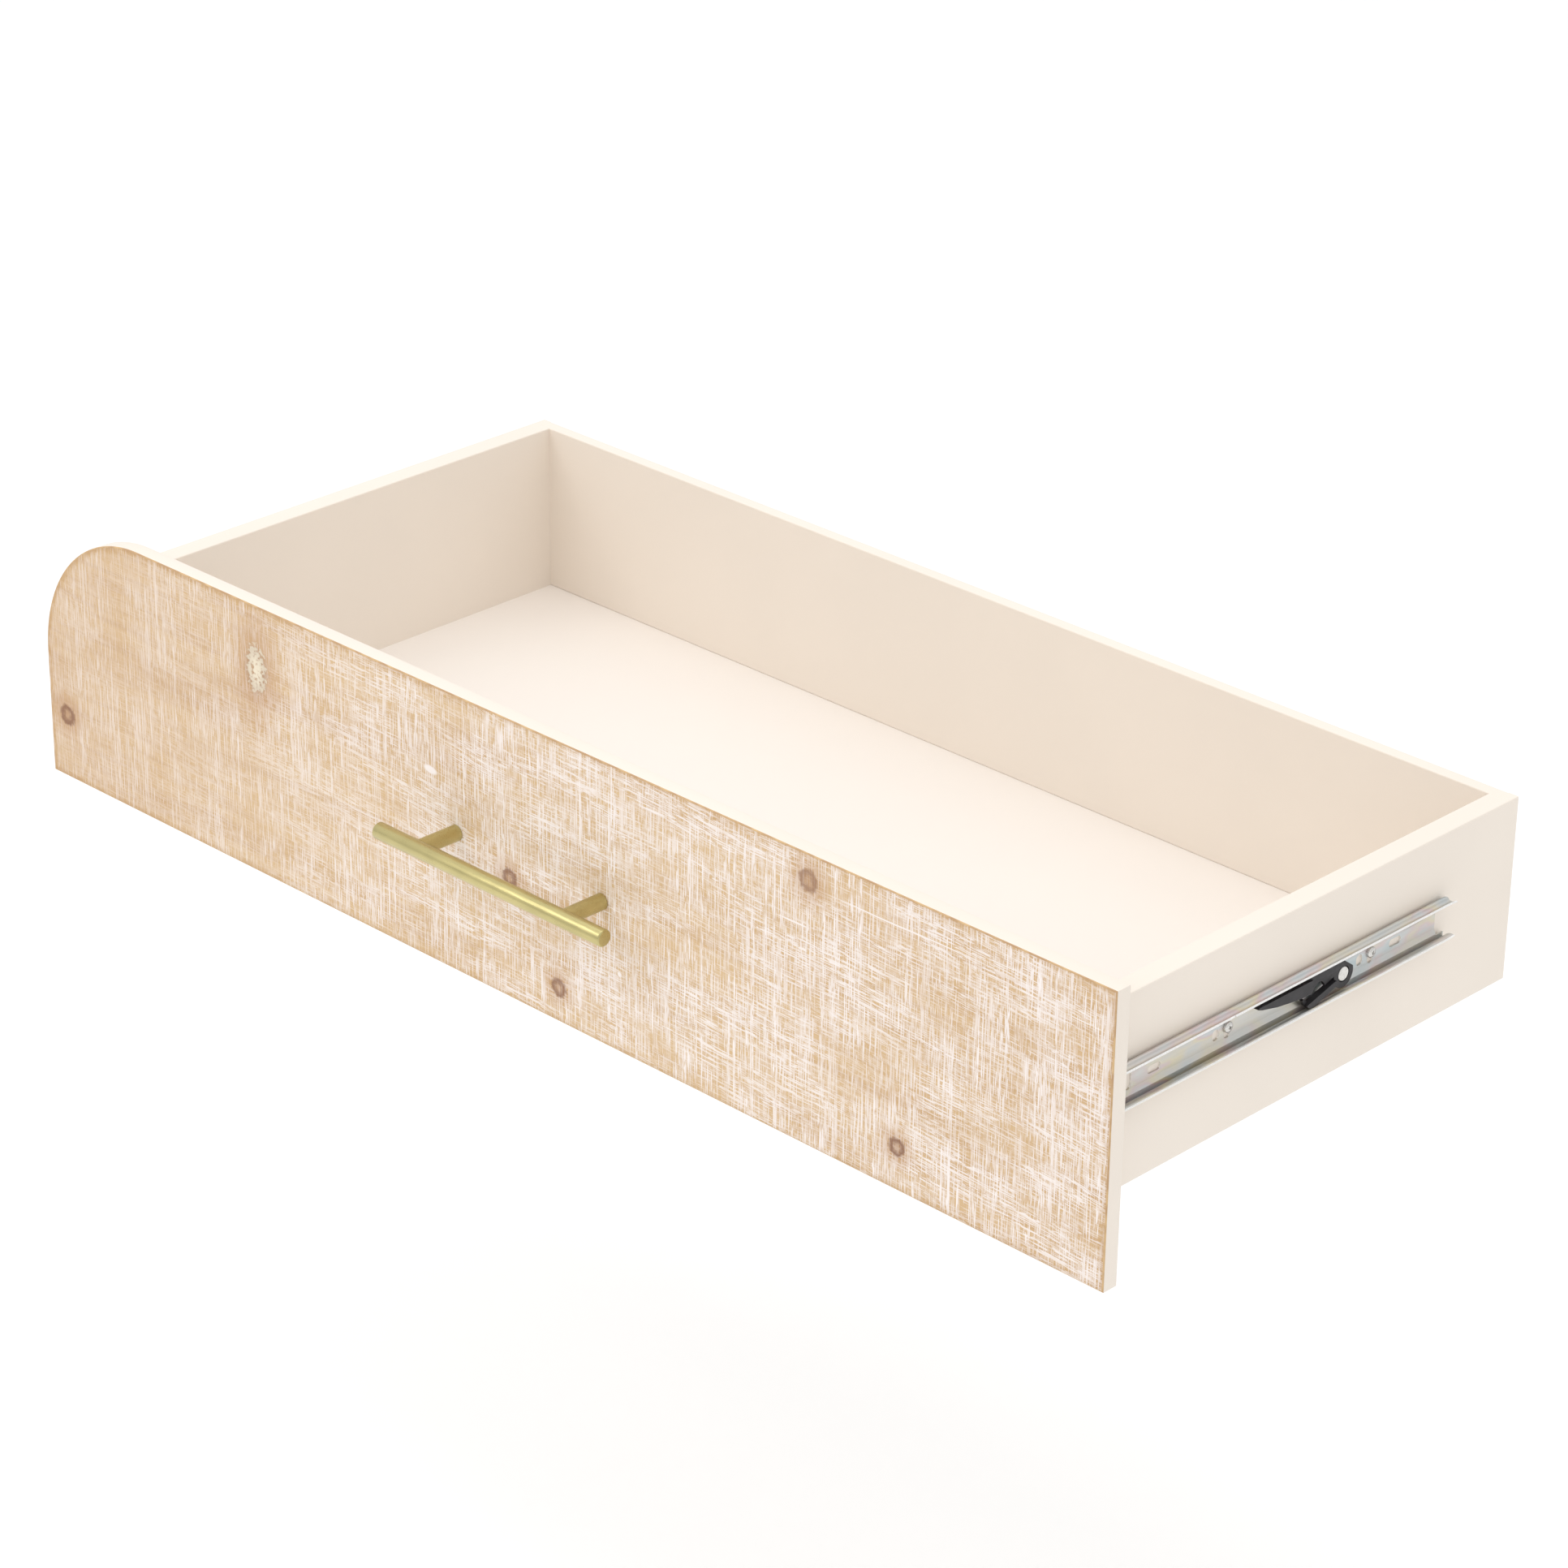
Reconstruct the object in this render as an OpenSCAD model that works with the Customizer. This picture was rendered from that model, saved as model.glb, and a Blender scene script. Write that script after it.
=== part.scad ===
// Wide cabinet drawer with a rounded whitewashed front, a bar handle and the
// drawer members of two ball-bearing slides, each with its release lever.
// Millimetres. X runs to the right, Y to the back and Z up. The origin is under
// the middle of the drawer, level with the lower edge of the front panel.

/* [Front panel] */
// Width of the decorative front
panel_w = 930; // [900:5:1100]
// Height of the decorative front
panel_h = 188; // [180:1:230]
// Thickness of the decorative front
panel_t = 12; // [10:1:16]
// Radius of the rounded top left corner
corner_r = 100; // [60:5:150]

/* [Drawer box] */
// Outside depth of the box, from the back of the front panel
box_d = 364; // [340:1:450]
// Height of the box sides
box_h = 121; // [110:1:125]
// Lower edge of the box above the lower edge of the front panel
box_lift = 51; // [40:1:54]
// Overhang of the front panel past the left side
left_overhang = 80; // [40:1:120]
// Overhang of the front panel past the right side
right_overhang = 13; // [13:0.5:30]
// Thickness of the sides and of the inner front
side_t = 15; // [15:1:18]
// Thickness of the back
back_t = 9; // [9:1:12]
// Thickness of the bottom
bottom_t = 3; // [3:0.5:5]
// Depth of the rabbets that hold the back and the bottom
rabbet_d = 8; // [6:0.5:10]
// Rounding of the painted edges
edge_r = 0.8; // [0.4:0.1:1.5]

/* [Handle] */
// Distance between the two handle posts
handle_pitch = 128; // [96:32:160]
// Length of the handle bar
handle_l = 200; // [170:5:240]
// Diameter of the handle bar and its posts
handle_dia = 11; // [10:0.5:14]
// Distance from the front panel to the middle of the bar
handle_reach = 32; // [26:1:40]
// Distance from the left end of the front panel to the middle of the handle
handle_x = 468; // [440:1:490]
// Height of the handle above the lower edge of the front panel
handle_z = 96; // [80:1:110]
// Chamfer on the ends of the bar
handle_chamfer = 0.8; // [0.4:0.1:1.5]

/* [Slide members] */
// Length of the drawer member from its front end to the tips at its back
rail_l = 298; // [290:1:310]
// Front end of the drawer member, behind the front panel
rail_start = 1; // [0.5:0.5:4]
// Height of the middle of the slide above the lower edge of the box
rail_z = 67; // [55:1:75]
// Thickness of the slide's sheet steel
rail_t = 1.2; // [1:0.1:1.4]

/* [Release lever] */
// Pivot of the lever, behind the front end of the drawer member
pivot_s = 197; // [190:0.5:205]
// Radius of the lever's round head
lever_head_r = 8.7; // [8:0.1:9]

/* [Screws] */
// Diameter of the slide screws' heads
slide_head_dia = 7; // [6.5:0.1:7.5]
// Diameter of the slide screws' shanks
slide_shank_dia = 3.5; // [3:0.1:4]

/* [Hidden] */

// Each part's colour
whitewashed_pine = "#dcc3a3";
cream_paint = "#f3e9dd";
pale_beech = "#d9b98a";
satin_brass = "#cdbf6a";
bright_zinc = "#d5d7d6";
zinc_plate = "#c3c6c2";
black_nylon = "#2b292b";

// Shape of a pan head and its cross recess, as shares of the head's height and width
crown_share = 1 / 3;
recess_depth_share = 0.6;
recess_width_share = 0.55;
recess_blade_share = 1 / 4;

// Smoothness of round parts
round_fn = 64;
screw_fn = 32;
corner_fn = 128;
// Overshoot of a cutting shape past the face it cuts
cut = 1;
// Size of a cutting shape that has to pass right through a slide part
deep = 40;

// Places in the drawer's own frame
front_y = -(handle_reach + handle_dia / 2 + panel_t + box_d) / 2 + handle_reach + handle_dia / 2;
panel_left = -panel_w / 2;
panel_right = panel_w / 2;
box_y = front_y + panel_t;
back_y = box_y + box_d;
box_left = panel_left + left_overhang;
box_right = panel_right - right_overhang;
box_w = box_right - box_left;
inner_w = box_w - 2 * side_t;
inner_front_y = box_y + side_t;

// Handle
post_dia = handle_dia - 0.4;
post_xs = [for (side = [-1, 1]) panel_left + handle_x + side * handle_pitch / 2];
bar_y = front_y - handle_reach;
handle_screw_dia = 4;
handle_screw_grip = 12;
handle_head_dia = 9;
handle_head_h = 2.4;

// Fasteners of the box
dowel_dia = 8;
dowel_l = 30;
dowel_side_depth = 10;
dowel_heights = [28, 93];
panel_screw_dia = 4;
panel_screw_head_dia = 8;
panel_screw_head_h = 2.6;
panel_screw_bite = 8;
panel_screw_inset = 110;
panel_screw_heights = [30, 91];
brad_dia = 1.4;
brad_fn = 16;
brad_l = 22;
back_brad_heights = [22, 62, 102];
bottom_brad_l = 16;
bottom_brad_pitch = 150;
bottom_brad_inset = 40;
bottom_brad_edge = 4;
bottom_brad_rise = 0.2;

// Slide member: half of its cross-section as [distance from the drawer side, height]
web_flat = 5.4;
web_step = [2.1, 8.4];
rail_mid_z = box_lift + rail_z;
web_notch = 11;
tip_slant = 29;
tip_slant_l = 5;
tip_start_z = 9.2;
cross_pitch = 128;
slot_w = 5;
slot_l = 11;
oval_w = 5.6;
oval_l = 7;
front_slot_s = 14.4;
level_slot_s = [36, 249.6];
screw_slot_s = 98.5;
oval_s = 88.5;
screw_rise = 1.8;
slide_screw_l = 13;
slide_head_h = 2.4;

// Release lever, measured from its pivot: forwards is negative. Its back stands
// clear of the steps in the web, on a hub that reaches down to the flat of the web.
hub_gap = 0.3;
hub_dia = 10.2;
lever_back = 3.3;
head_plate_t = 2.1;
finger_t = 3.9;
spring_t = 4.1;
lever_top = 8.6;
rivet_neck_dia = 5;
rivet_shank_dia = 7;
rivet_head_dia = 8.8;
rivet_head_h = 1.1;
rivet_edge = 0.3;
head_float = 0.1;
rivet_clearance = 0.05;
head_recess_dia = 10;
head_recess_t = 1.1;
window_r = 5;
head_flat_r = 7;
head_flat_turn = 54;

// --- shared shapes ---------------------------------------------------------

// A board of the given size, with its long edges along X rounded
module board_along_x(size, radius = edge_r) {
    rotate([90, 0, 90]) linear_extrude(size[0]) rounded_rect([size[1], size[2]], radius);
}

// A board of the given size, with its long edges along Y rounded
module board_along_y(size, radius = edge_r) {
    translate([0, size[1], 0]) rotate([90, 0, 0])
        linear_extrude(size[1]) rounded_rect([size[0], size[2]], radius);
}

module rounded_rect(size, radius) {
    union() {
        translate([radius, 0]) square([size[0] - 2 * radius, size[1]]);
        translate([0, radius]) square([size[0], size[1] - 2 * radius]);
        for (x = [radius, size[0] - radius], y = [radius, size[1] - radius])
            translate([x, y]) circle(r = radius, $fn = screw_fn);
    }
}

// A rod along Y, from y0 to y1
module rod_y(x, z, y0, y1, dia, fn = screw_fn) {
    translate([x, y0, z]) rotate([-90, 0, 0]) cylinder(d = dia, h = y1 - y0, $fn = fn);
}

// A rod along X, from x0 to x1
module rod_x(y, z, x0, x1, dia, fn = screw_fn) {
    translate([x0, y, z]) rotate([0, 90, 0]) cylinder(d = dia, h = x1 - x0, $fn = fn);
}

// A cross recess for a Phillips driver, cut into a head along +Z at the origin
module phillips_recess(width, depth) {
    for (turn = [0, 90]) rotate([0, 0, turn])
        translate([-width / 2, -width * recess_blade_share / 2, -depth])
            cube([width, width * recess_blade_share, depth + cut]);
}

// A pan head that stands on the plane z = 0
module pan_head(dia, height) {
    crown = height * crown_share;
    difference() {
        rotate_extrude($fn = round_fn) polygon([
            [0, 0], [dia / 2, 0], [dia / 2, height - crown],
            [dia / 2 - crown, height], [0, height]]);
        translate([0, 0, height])
            phillips_recess(dia * recess_width_share, height * recess_depth_share);
    }
}

// --- box fasteners, used both as solids and as the holes that hold them ------

module dowels() {
    for (end = [0, 1], z = dowel_heights) {
        x_joint = end == 0 ? box_left + side_t : box_right - side_t;
        x_start = end == 0 ? x_joint - dowel_side_depth : x_joint - dowel_l + dowel_side_depth;
        rod_x(box_y + side_t / 2, box_lift + z, x_start, x_start + dowel_l, dowel_dia);
    }
}

module panel_screw_places() {
    for (x = [box_left + panel_screw_inset, box_right - panel_screw_inset], z = panel_screw_heights)
        translate([x, inner_front_y, box_lift + z]) rotate([-90, 0, 0]) children();
}

module panel_screw_shanks() {
    panel_screw_places()
        translate([0, 0, -side_t - panel_screw_bite])
            cylinder(d = panel_screw_dia, h = side_t + panel_screw_bite, $fn = screw_fn);
}

module back_brads() {
    for (z = back_brad_heights) {
        y = back_y - back_t / 2;
        rod_x(y, box_lift + z, box_left + edge_r, box_left + edge_r + brad_l, brad_dia, brad_fn);
        rod_x(y, box_lift + z, box_right - edge_r - brad_l, box_right - edge_r, brad_dia, brad_fn);
    }
}

module bottom_brads() {
    long_count = floor((box_w - 2 * bottom_brad_inset) / bottom_brad_pitch);
    long_step = (box_w - 2 * bottom_brad_inset) / long_count;
    side_step = (box_d - 2 * bottom_brad_inset) / 2;
    long_xs = [for (i = [0 : long_count]) box_left + bottom_brad_inset + i * long_step];
    side_ys = [for (i = [0 : 2]) box_y + bottom_brad_inset + i * side_step];
    front_line = inner_front_y - bottom_brad_edge;
    side_lines = [box_left + side_t - bottom_brad_edge, box_right - side_t + bottom_brad_edge];
    places = concat(
        [for (x = long_xs) [x, front_line]],
        [for (x = side_lines, y = side_ys) [x, y]]);
    for (p = places)
        translate([p[0], p[1], box_lift + bottom_brad_rise]) cylinder(d = brad_dia, h = bottom_brad_l, $fn = brad_fn);
}

module handle_shanks() {
    for (x = post_xs)
        rod_y(x, handle_z, front_y - handle_screw_grip, inner_front_y, handle_screw_dia);
}

// --- drawer box --------------------------------------------------------------

module front_outline() {
    difference() {
        square([panel_w, panel_h]);
        translate([0, panel_h - corner_r]) difference() {
            translate([-cut, 0]) square([corner_r + cut, corner_r + cut]);
            translate([corner_r, 0]) circle(r = corner_r, $fn = corner_fn);
        }
    }
}

module front_panel() {
    color(whitewashed_pine) difference() {
        translate([panel_left, box_y, 0]) rotate([90, 0, 0]) linear_extrude(panel_t) front_outline();
        handle_shanks();
        panel_screw_shanks();
    }
}

module inner_front() {
    color(cream_paint) difference() {
        translate([box_left + side_t, box_y, box_lift]) board_along_x([inner_w, side_t, box_h]);
        bottom_bed();
        dowels();
        handle_shanks();
        panel_screw_shanks();
        bottom_brads();
    }
}

// The space the bottom fills, cut from the lower edges round it
module bottom_bed() {
    translate([box_left + side_t - rabbet_d, inner_front_y - rabbet_d, box_lift - cut])
        cube([inner_w + 2 * rabbet_d, back_y - inner_front_y + rabbet_d + cut, bottom_t + cut]);
}

// The space the back fills, cut from the rear edges of the sides
module back_bed() {
    translate([box_left + side_t - rabbet_d, back_y - back_t, box_lift - cut])
        cube([inner_w + 2 * rabbet_d, back_t + cut, box_h + 2 * cut]);
}

module side_board(x, slide_face) {
    color(cream_paint) difference() {
        translate([x, box_y, box_lift]) board_along_y([side_t, box_d, box_h]);
        bottom_bed();
        back_bed();
        dowels();
        back_brads();
        bottom_brads();
        slide_face_place(slide_face) slide_screw_shanks(slide_face);
    }
}

module left_side() side_board(box_left, -1);

module right_side() side_board(box_right - side_t, 1);

module back_panel() {
    color(cream_paint) difference() {
        translate([box_left + side_t - rabbet_d, back_y - back_t, box_lift + bottom_t])
            board_along_x([inner_w + 2 * rabbet_d, back_t, box_h - bottom_t]);
        back_brads();
    }
}

module bottom_panel() {
    color(cream_paint) difference() {
        translate([box_left + side_t - rabbet_d, inner_front_y - rabbet_d, box_lift])
            cube([inner_w + 2 * rabbet_d, back_y - inner_front_y + rabbet_d, bottom_t]);
        bottom_brads();
    }
}

module corner_dowels() color(pale_beech) dowels();

module front_panel_screws() {
    color(bright_zinc) {
        panel_screw_shanks();
        panel_screw_places() pan_head(panel_screw_head_dia, panel_screw_head_h);
    }
}

module back_panel_brads() color(bright_zinc) back_brads();

module bottom_panel_brads() color(bright_zinc) bottom_brads();

// --- handle --------------------------------------------------------------------

module handle_bar() {
    bar_r = handle_dia / 2;
    bar_left = panel_left + handle_x - handle_l / 2;
    color(satin_brass)
        translate([bar_left, bar_y, handle_z]) rotate([0, 90, 0])
            rotate_extrude($fn = round_fn) polygon([
                [0, 0], [bar_r - handle_chamfer, 0], [bar_r, handle_chamfer],
                [bar_r, handle_l - handle_chamfer], [bar_r - handle_chamfer, handle_l], [0, handle_l]]);
}

module handle_post(x) {
    color(satin_brass) difference() {
        rod_y(x, handle_z, bar_y, front_y, post_dia, round_fn);
        rod_x(bar_y, handle_z, x - handle_dia, x + handle_dia, handle_dia, round_fn);
        handle_shanks();
    }
}

module handle_post_left() handle_post(post_xs[0]);

module handle_post_right() handle_post(post_xs[1]);

module handle_screws() {
    color(bright_zinc) {
        handle_shanks();
        for (x = post_xs)
            translate([x, inner_front_y, handle_z]) rotate([-90, 0, 0])
                pan_head(handle_head_dia, handle_head_h);
    }
}

// --- slides ----------------------------------------------------------------------

// Puts a right-hand slide part on its drawer side. The same part serves the left
// side turned half a turn about the drawer's depth. There X points away from the
// side, Y runs back from the front end and Z up from the middle of the slide.
module slide_face_place(face) {
    x = face > 0 ? box_right : box_left;
    translate([x, box_y + rail_start, rail_mid_z])
        rotate([0, face > 0 ? 0 : 180, 0]) children();
}

function arc_points(centre, r, from, to, steps) =
    [for (i = [0 : steps]) let (a = from + (to - from) * i / steps)
        centre + r * [cos(a), sin(a)]];

// Middle line of the sheet: web, step, root bend, ball groove and lip
root_centre = [2.65, 12.3];
root_r = 0.9;
root_end = 20;
groove_r = 2.7;
groove_end = 308;
lip_l = 0.9;
groove_centre = root_centre + (root_r + groove_r) * [cos(root_end), sin(root_end)];
lip_start = groove_centre + groove_r * [cos(groove_end), sin(groove_end)];
upper_line = concat(
    [[rail_t / 2, web_flat], web_step],
    arc_points(root_centre, root_r, 180, root_end, 6),
    arc_points(groove_centre, groove_r, root_end + 180 + 10, groove_end, 9),
    [lip_start + lip_l * [-sin(groove_end), cos(groove_end)]]);

function unit(v) = v / norm(v);
function left_normal(v) = [-v[1], v[0]];
function sheet_normal(line, i) =
    let (before = unit(line[max(i, 1)] - line[max(i, 1) - 1]),
        after = unit(line[min(i + 1, len(line) - 1)] - line[min(i, len(line) - 2)]),
        middle = unit(left_normal(before) + left_normal(after)))
    middle / (middle * left_normal(after));
function sheet_side(line, offset) =
    [for (i = [0 : len(line) - 1]) line[i] + sheet_normal(line, i) * offset];
function backwards(line) = [for (i = [len(line) - 1 : -1 : 0]) line[i]];

lower_line = [for (p = backwards(upper_line)) [p[0], -p[1]]];
rail_line = concat(lower_line, upper_line);

module rail_section() {
    polygon(concat(sheet_side(rail_line, rail_t / 2), backwards(sheet_side(rail_line, -rail_t / 2))));
}

// The rail's cross-section, run along Y between two distances from its front end
module rail_run(from, to) {
    translate([0, to, 0]) rotate([90, 0, 0]) linear_extrude(to - from) rail_section();
}

// An upright or level slot through the web, by its length beyond its width
module web_slot(s, width, length, level) {
    reach = (length - width) / 2;
    shift = level ? [0, reach, 0] : [0, 0, reach];
    wide = level ? [rail_t + 2 * cut, 2 * reach, width] : [rail_t + 2 * cut, width, 2 * reach];
    translate([-cut, s, 0]) {
        for (end = [-1, 1])
            translate(end * shift) rotate([0, 90, 0])
                cylinder(d = width, h = rail_t + 2 * cut, $fn = screw_fn);
        translate([0, -wide[1] / 2, -wide[2] / 2]) cube(wide);
    }
}

module web_holes() {
    web_slot(front_slot_s, slot_w, slot_l, false);
    for (s = level_slot_s) web_slot(s, slot_w, slot_l, true);
    for (set = [0, 1]) {
        web_slot(screw_slot_s + set * cross_pitch, slot_w, slot_l, false);
        web_slot(oval_s + set * cross_pitch, oval_w, oval_l, false);
    }
    translate([-cut, pivot_s, 0]) rotate([0, 90, 0])
        cylinder(d = rivet_neck_dia, h = rail_t + 2 * cut, $fn = screw_fn);
}

// The rear end: the web is cut away between the flanges, and the flanges are cut
// at a slant, so that their lips reach further back than their roots
module rear_cuts() {
    translate([-cut, rail_l - web_notch, -tip_start_z]) cube([deep, deep, 2 * tip_start_z]);
    translate([0, rail_l - tip_slant_l, -deep]) rotate([0, 0, tip_slant]) translate([-deep, 0, 0])
        cube([2 * deep, deep, 2 * deep]);
}

module rail() {
    color(zinc_plate) difference() {
        rail_run(0, rail_l);
        web_holes();
        rear_cuts();
    }
}

module slide_screw_places(face) {
    for (set = [0, 1])
        translate([0, screw_slot_s + set * cross_pitch, face * screw_rise]) rotate([0, 90, 0]) children();
}

module slide_screw_shanks(face) {
    slide_screw_places(face)
        translate([0, 0, rail_t - slide_screw_l]) cylinder(d = slide_shank_dia, h = slide_screw_l, $fn = screw_fn);
}

module slide_screws(face) {
    color(bright_zinc) slide_face_place(face) {
        slide_screw_shanks(face);
        slide_screw_places(face) translate([0, 0, rail_t]) pan_head(slide_head_dia, slide_head_h);
    }
}

// Extrudes an outline drawn as [distance behind the pivot, height] away from the web
module lever_layer(thickness) {
    translate([lever_back, pivot_s, 0]) rotate([90, 0, 90]) linear_extrude(thickness) children();
}

module lever_body() {
    color(black_nylon) difference() {
        union() {
            lever_layer(head_plate_t) difference() {
                union() {
                    circle(r = lever_head_r, $fn = round_fn);
                    polygon([[0, lever_top], [-33, lever_top], [-33, -1], [-17, -1.2], [-8, 1.5], [0, 0]]);
                }
                // Flat on the upper rear of the head
                rotate(head_flat_turn) translate([head_flat_r, -deep / 2]) square(deep);
                translate([-22, -2]) circle(r = window_r, $fn = round_fn);
            }
            lever_layer(finger_t) polygon([
                [-30, 7.7], [-78, 7.7], [-78.8, 6.8], [-75.5, 5.6], [-62, 2.4],
                [-48, 0.4], [-38, -0.6], [-30, -0.9]]);
            translate([rail_t + hub_gap, pivot_s, 0]) rotate([0, 90, 0])
                cylinder(d = hub_dia, h = lever_back - rail_t - hub_gap + cut, $fn = round_fn);
        }
        lever_bore();
    }
}

// A bore that turns on the rivet's shank, with a recess for its head
module lever_bore() {
    translate([0, pivot_s, 0]) rotate([0, 90, 0]) {
        cylinder(d = rivet_shank_dia + 2 * rivet_clearance, h = deep, $fn = round_fn);
        translate([0, 0, lever_back + head_plate_t - head_recess_t])
            cylinder(d = head_recess_dia, h = deep, $fn = round_fn);
    }
}

// The springy arm that pushes on the lower flange. It grows out of the lever's head.
module lever_spring() {
    color(black_nylon) difference() {
        union() {
            lever_layer(spring_t) polygon([
                [-5, -3], [-16.3, -6.5], [-23.2, -8.6], [-30, -9.8], [-32, -9.8],
                [-34.8, -7.6], [-34, -6.9], [-10.9, -0.9], [-5, 0.2]]);
            lever_layer(head_plate_t) polygon([
                [-32, -8.6], [-35, -7.4], [-37, -3.8], [-35.8, -3.1], [-31.5, -6.2]]);
        }
        translate([0, pivot_s, 0]) rotate([0, 90, 0])
            cylinder(r = lever_head_r, h = deep, $fn = round_fn);
    }
}

module lever_rivet() {
    shank_end = lever_back + head_plate_t - head_recess_t + head_float;
    color(bright_zinc) translate([0, pivot_s, 0]) rotate([0, 90, 0])
        rotate_extrude($fn = round_fn) polygon([
            [0, 0], [rivet_neck_dia / 2, 0], [rivet_neck_dia / 2, rail_t],
            [rivet_shank_dia / 2, rail_t], [rivet_shank_dia / 2, shank_end],
            [rivet_head_dia / 2, shank_end], [rivet_head_dia / 2, shank_end + rivet_head_h - rivet_edge],
            [rivet_head_dia / 2 - rivet_edge, shank_end + rivet_head_h], [0, shank_end + rivet_head_h]]);
}

module slide_member_left() slide_face_place(-1) rail();

module slide_member_right() slide_face_place(1) rail();

module slide_screws_left() slide_screws(-1);

module slide_screws_right() slide_screws(1);

module release_lever_left() slide_face_place(-1) lever_body();

module release_lever_right() slide_face_place(1) lever_body();

module lever_spring_left() slide_face_place(-1) lever_spring();

module lever_spring_right() slide_face_place(1) lever_spring();

module lever_rivet_left() slide_face_place(-1) lever_rivet();

module lever_rivet_right() slide_face_place(1) lever_rivet();

// --- whole drawer ----------------------------------------------------------------

front_panel();
inner_front();
left_side();
right_side();
back_panel();
bottom_panel();
corner_dowels();
front_panel_screws();
back_panel_brads();
bottom_panel_brads();
handle_bar();
handle_post_left();
handle_post_right();
handle_screws();
slide_member_left();
slide_member_right();
slide_screws_left();
slide_screws_right();
release_lever_left();
release_lever_right();
lever_spring_left();
lever_spring_right();
lever_rivet_left();
lever_rivet_right();
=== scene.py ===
"""A wide cabinet drawer with a whitewashed front, a bar handle and ball-bearing slide members.

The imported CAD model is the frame. This script adds the surfaces that the drawer is seen by, and a
small studio to show it in.
"""

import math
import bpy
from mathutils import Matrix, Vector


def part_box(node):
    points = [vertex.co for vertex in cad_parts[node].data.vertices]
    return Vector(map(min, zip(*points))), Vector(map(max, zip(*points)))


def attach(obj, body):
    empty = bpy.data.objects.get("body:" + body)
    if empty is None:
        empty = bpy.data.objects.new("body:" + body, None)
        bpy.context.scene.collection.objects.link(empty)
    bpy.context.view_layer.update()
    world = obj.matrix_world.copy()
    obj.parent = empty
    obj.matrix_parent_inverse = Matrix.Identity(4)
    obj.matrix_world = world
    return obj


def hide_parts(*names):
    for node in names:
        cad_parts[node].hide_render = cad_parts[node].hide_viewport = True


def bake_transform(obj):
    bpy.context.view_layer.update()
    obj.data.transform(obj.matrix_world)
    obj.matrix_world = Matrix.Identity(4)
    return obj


bl_info = {
    "name": "Cabinet Drawer",
    "version": (1, 0, 0),
    "blender": (4, 5, 0),
    "location": "3D View > Sidebar > Drawer",
    "description": "Builds a wide cabinet drawer with a bar handle and ball-bearing slide members",
    "category": "Add Mesh",
}

import bmesh
import bpy
from bpy.props import FloatProperty, FloatVectorProperty, IntProperty, PointerProperty
from mathutils import Matrix, Vector

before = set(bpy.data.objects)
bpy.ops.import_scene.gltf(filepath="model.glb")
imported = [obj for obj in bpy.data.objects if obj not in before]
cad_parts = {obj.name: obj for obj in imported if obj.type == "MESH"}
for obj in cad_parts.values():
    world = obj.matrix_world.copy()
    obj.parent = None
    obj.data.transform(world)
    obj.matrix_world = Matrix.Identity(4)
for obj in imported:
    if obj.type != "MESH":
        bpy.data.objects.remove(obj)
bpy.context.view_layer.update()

MM = 0.001
SIDES = ("left", "right")

# Places that the frame gives, in metres
panel_low, panel_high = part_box("front_panel")
bar_low, bar_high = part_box("handle_bar")
bar_radius = (bar_high.z - bar_low.z) / 2
bar_middle = (bar_low + bar_high) / 2


def linear(hex_colour):
    """An sRGB hex colour as linear red, green and blue."""
    parts = [int(hex_colour[i:i + 2], 16) / 255 for i in (1, 3, 5)]
    return tuple(p / 12.92 if p <= 0.04045 else ((p + 0.055) / 1.055) ** 2.4 for p in parts)


def rgba(colour):
    """A colour with full alpha, as a colour socket takes it."""
    return (*colour, 1.0)


def dimmed(colour, share):
    """A colour that gives back a share of its light."""
    return tuple(part * share for part in colour)


# --- sizes and colours that a user would change ------------------------------


def length(name, description, millimetres):
    """A length property whose default is in millimetres."""
    return FloatProperty(
        name=name, description=description, default=millimetres * MM,
        min=0.0, unit="LENGTH", precision=5)


def colour(name, description, hex_colour):
    """A colour property whose default is an sRGB hex value."""
    return FloatVectorProperty(
        name=name, description=description, default=linear(hex_colour),
        subtype="COLOR", min=0.0, max=1.0)


class DrawerFrontSizes(bpy.types.PropertyGroup):
    corner_radius: length("Corner radius", "Radius of the round upper left corner", 100)
    corner_steps: IntProperty(name="Corner steps", description="Facets round the corner", default=48)
    rim: length("Rim", "Width of the rubbed-down edge round the face", 0.8)
    worn_band: length("Worn band", "Width of the face's rubbed border, inside the rim", 5)


class DrawerHandleSizes(bpy.types.PropertyGroup):
    end_chamfer: length("End chamfer", "Turned chamfer on the ends of the bar", 0.8)
    post_foot: length("Post foot", "Turned chamfer where a post meets the front", 0.35)
    turned_edge: length("Turned edge", "Rounding that polishing leaves on a turned edge", 0.12)


class DrawerScrewSizes(bpy.types.PropertyGroup):
    thread_pitch: length("Thread pitch", "Distance between the crests of the thread", 1.4)
    thread_depth: length("Thread depth", "Depth of the thread", 0.35)
    recess_share: FloatProperty(
        name="Recess share", description="Width of the cross recess over the head's diameter",
        default=0.58, min=0.3, max=0.8, subtype="FACTOR")


class DrawerSlideSizes(bpy.types.PropertyGroup):
    tip_bend: FloatProperty(
        name="Tip bend", description="Angle by which the rear tips close in",
        default=math.radians(6), min=0.0, max=math.radians(15), subtype="ANGLE")
    tip_length: length("Tip length", "Length of the rear tips that are bent", 10)
    sheet_edge: length("Sheet edge", "Rounding of the sheared edges of the sheet", 0.15)
    notch_place: length("Notch place", "Stop notch in the upper flange, behind the front end", 95)
    notch_length: length("Notch length", "Length of the stop notch", 4)


class DrawerLeverSizes(bpy.types.PropertyGroup):
    moulded_edge: length("Moulded edge", "Rounding of the moulded edges", 0.35)


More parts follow.
